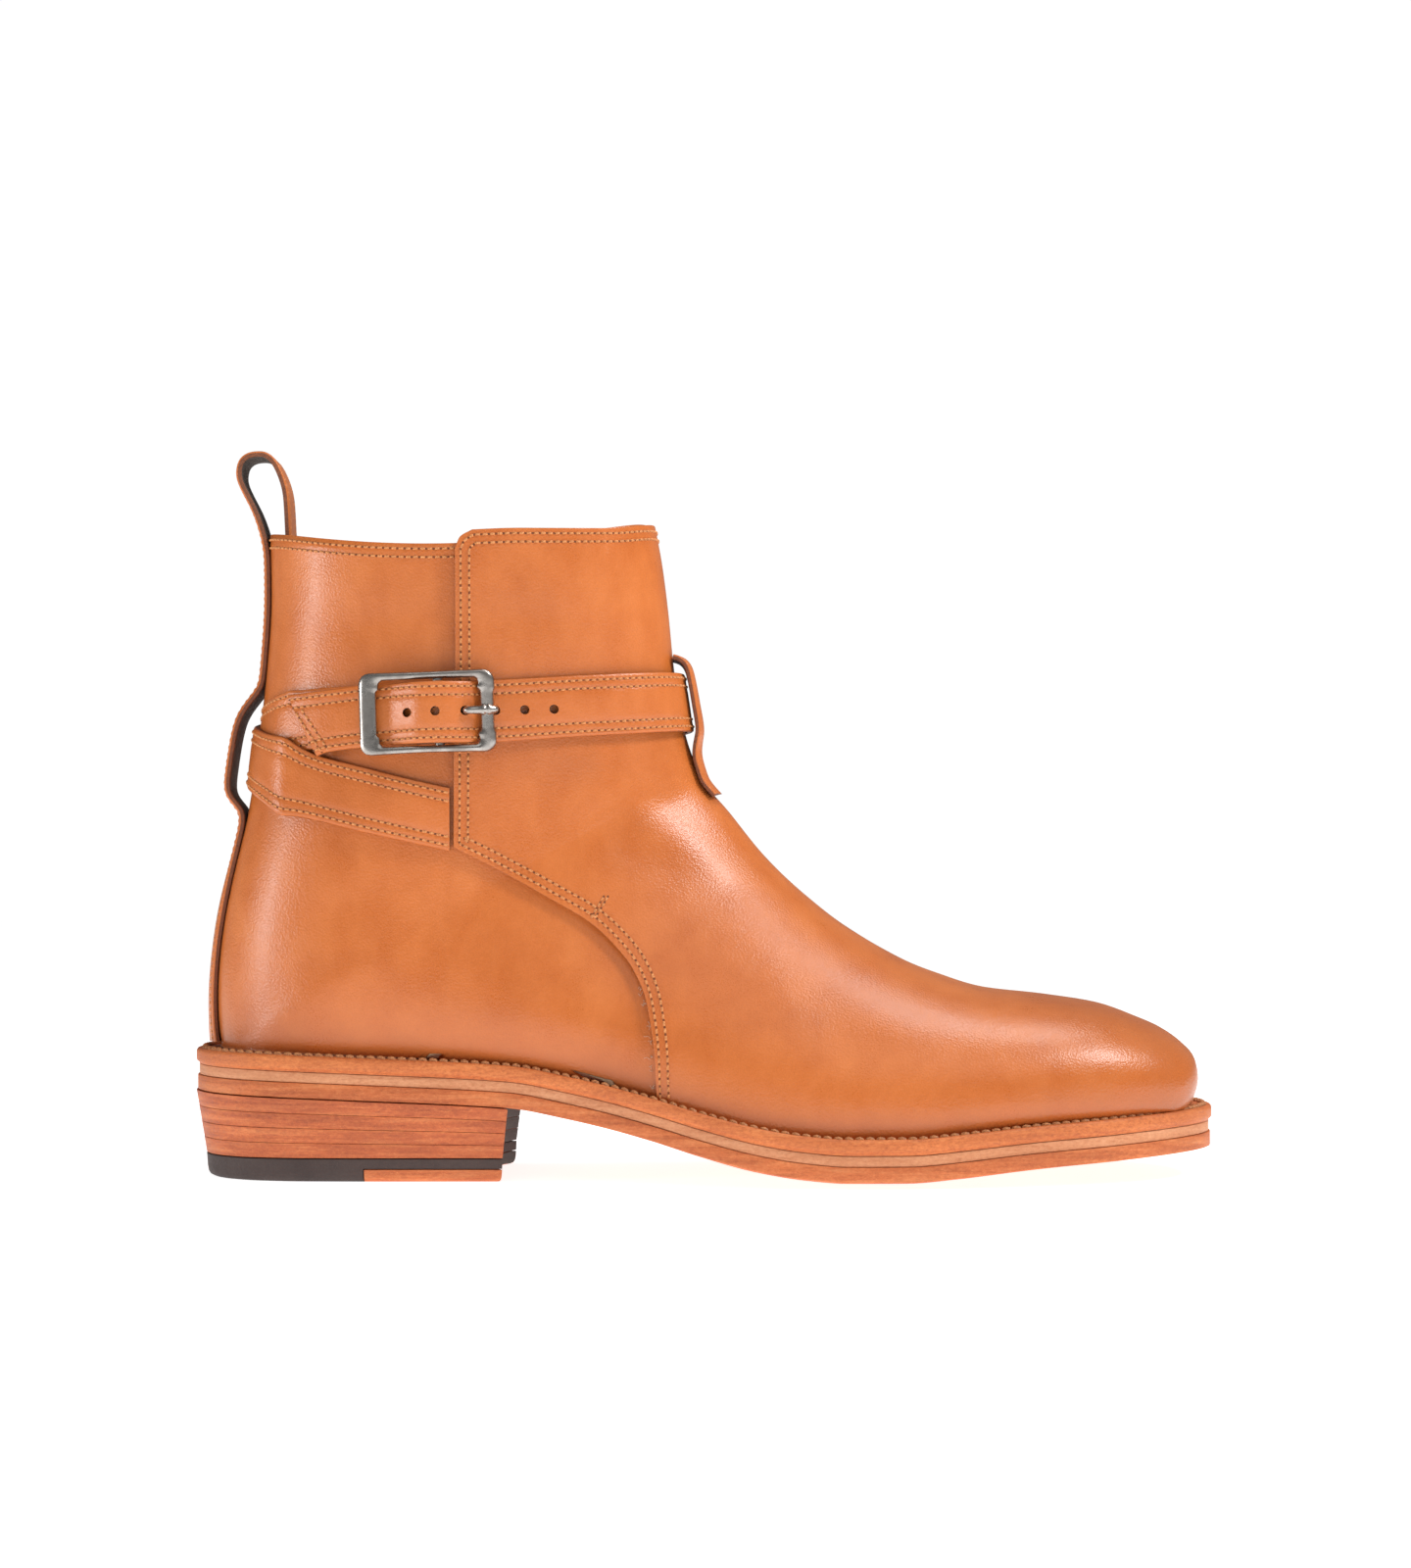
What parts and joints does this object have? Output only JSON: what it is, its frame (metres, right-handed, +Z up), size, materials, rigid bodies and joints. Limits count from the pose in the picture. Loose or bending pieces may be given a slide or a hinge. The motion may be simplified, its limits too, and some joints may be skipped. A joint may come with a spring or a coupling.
{
  "type": "jodhpur boot",
  "caption": "Ankle-high leather boot with an overlaid vamp, a stacked heel, a welted sole, a wrapped ankle strap with a buckle, and a pull loop at the back.",
  "frame": {"origin": "on the floor under the middle of the heel's rubber top piece, on the boot's middle plane", "axes": "+X along the sole towards the toe, -Y towards the outer side that carries the buckle, +Z up"},
  "size_m": [0.303, 0.1003, 0.2153],
  "materials": {
    "upper_leather": "smooth tan leather, soft sheen",
    "strap_leather": "smooth tan leather, stitched edges",
    "sole_leather": "burnished edge of sole leather",
    "midsole_leather": "pale raw leather edge",
    "welt_leather": "stitched leather welt",
    "insole_leather": "matt lining leather",
    "heel_rubber": "matt dark rubber",
    "buckle_metal": "polished, slightly aged nickel"
  },
  "bodies": {
    "root": {"outsole": "sole_leather", "midsole": "midsole_leather", "welt": "welt_leather", "insole": "insole_leather", "heel_lift_1": "sole_leather", "heel_lift_2": "sole_leather", "heel_lift_3": "sole_leather", "heel_lift_4": "sole_leather", "top_piece": "heel_rubber", "top_piece_insert": "sole_leather", "upper": "upper_leather", "vamp": "upper_leather", "long_strap": "strap_leather", "buckle_strap": "strap_leather", "back_strip": "strap_leather", "front_keeper": "strap_leather", "buckle_frame": "buckle_metal", "buckle_prong": "buckle_metal"}
  },
  "joints": []
}
